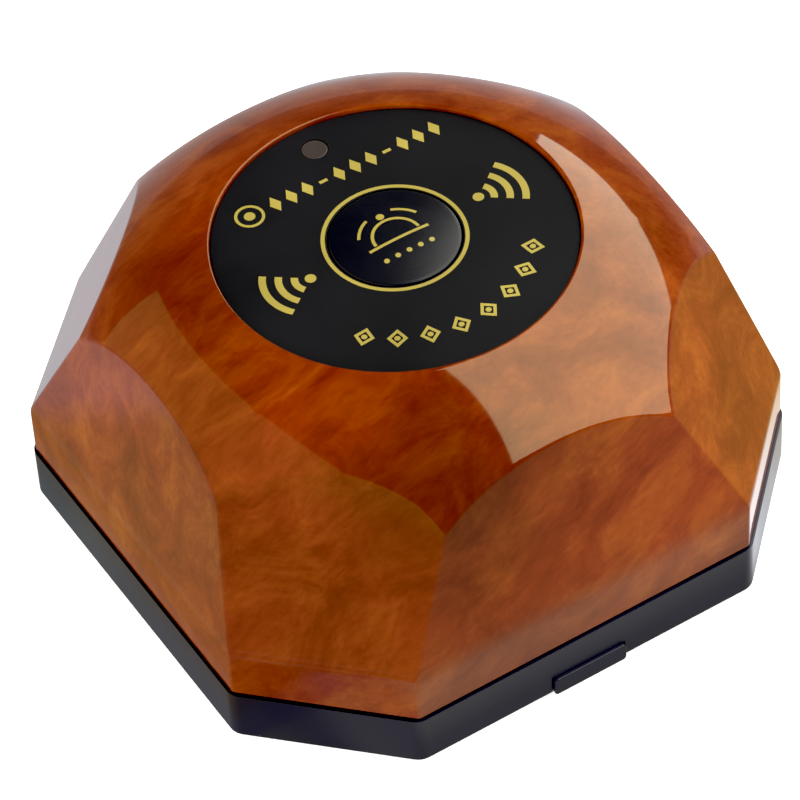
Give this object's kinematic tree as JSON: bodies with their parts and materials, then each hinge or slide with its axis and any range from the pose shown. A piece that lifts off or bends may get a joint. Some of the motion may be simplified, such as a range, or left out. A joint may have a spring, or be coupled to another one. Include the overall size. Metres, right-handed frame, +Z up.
{
  "type": "table call button",
  "caption": "Faceted dome table call button on a black chamfered-square base, with a round label, central press pad, status window and battery door.",
  "frame": {"origin": "centre of the footprint, at the underside of the feet", "axes": "+Z up through the press pad; -Y is the front, where the battery door's finger tab is"},
  "size_m": [0.086, 0.0865, 0.0458],
  "materials": {
    "amber_shell": "polished, clear coated",
    "black_label": "matte printed",
    "black_pad": "satin",
    "smoked_window": "smoked",
    "black_base": "satin moulded",
    "board_green": "solder mask",
    "black_resin": "moulded resin",
    "stem_white": "moulded",
    "tin_plate": "tin plated",
    "red_lens": "tinted epoxy",
    "copper_wire": "enamelled copper",
    "blue_sleeve": "shrink sleeve",
    "zinc_screw": "zinc plated",
    "cell_jacket": "printed film",
    "red_wire": "insulated wire",
    "black_wire": "insulated wire",
    "foot_rubber": "soft moulded"
  },
  "bodies": {
    "housing": {"top_shell": "amber_shell", "label_disc": "black_label", "led_window": "smoked_window", "circuit_board": "board_green", "switch_body": "black_resin", "switch_cover": "tin_plate", "switch_pins": "tin_plate", "status_led": "red_lens", "led_leads": "tin_plate", "encoder_chip": "black_resin", "encoder_pins": "tin_plate", "resonator_can": "tin_plate", "antenna_coil": "copper_wire", "capacitor": "blue_sleeve", "chip_resistors": "black_resin", "board_screws": "zinc_screw", "base_tray": "black_base", "battery_cell": "cell_jacket", "contact_spring": "tin_plate", "spring_plate": "tin_plate", "contact_plate": "tin_plate", "lead_plus": "red_wire", "lead_minus": "black_wire", "case_screws": "zinc_screw", "foot_pads": "foot_rubber"},
    "button": {"button_cap": "black_pad"},
    "switch_plunger": {"switch_stem": "stem_white"},
    "door": {"battery_door": "black_base"}
  },
  "joints": [
    {"name": "button_press", "type": "slide", "parent": "housing", "child": "button", "axis": [0, 0, -1], "range_m": [0, 0.0005], "stiffness_N_per_m": 4000},
    {"name": "switch_press", "type": "slide", "parent": "housing", "child": "switch_plunger", "axis": [0, 0, -1], "range_m": [0, 0.0005]},
    {"name": "door_hinge", "type": "hinge", "parent": "housing", "child": "door", "pos_m": [0, -0.02055, 0.0025], "axis": [1, 0, 0], "range_deg": [0, 90]}
  ],
  "couplings": [
    {"joint": "switch_press", "follows": "button_press", "ratio": 1}
  ]
}
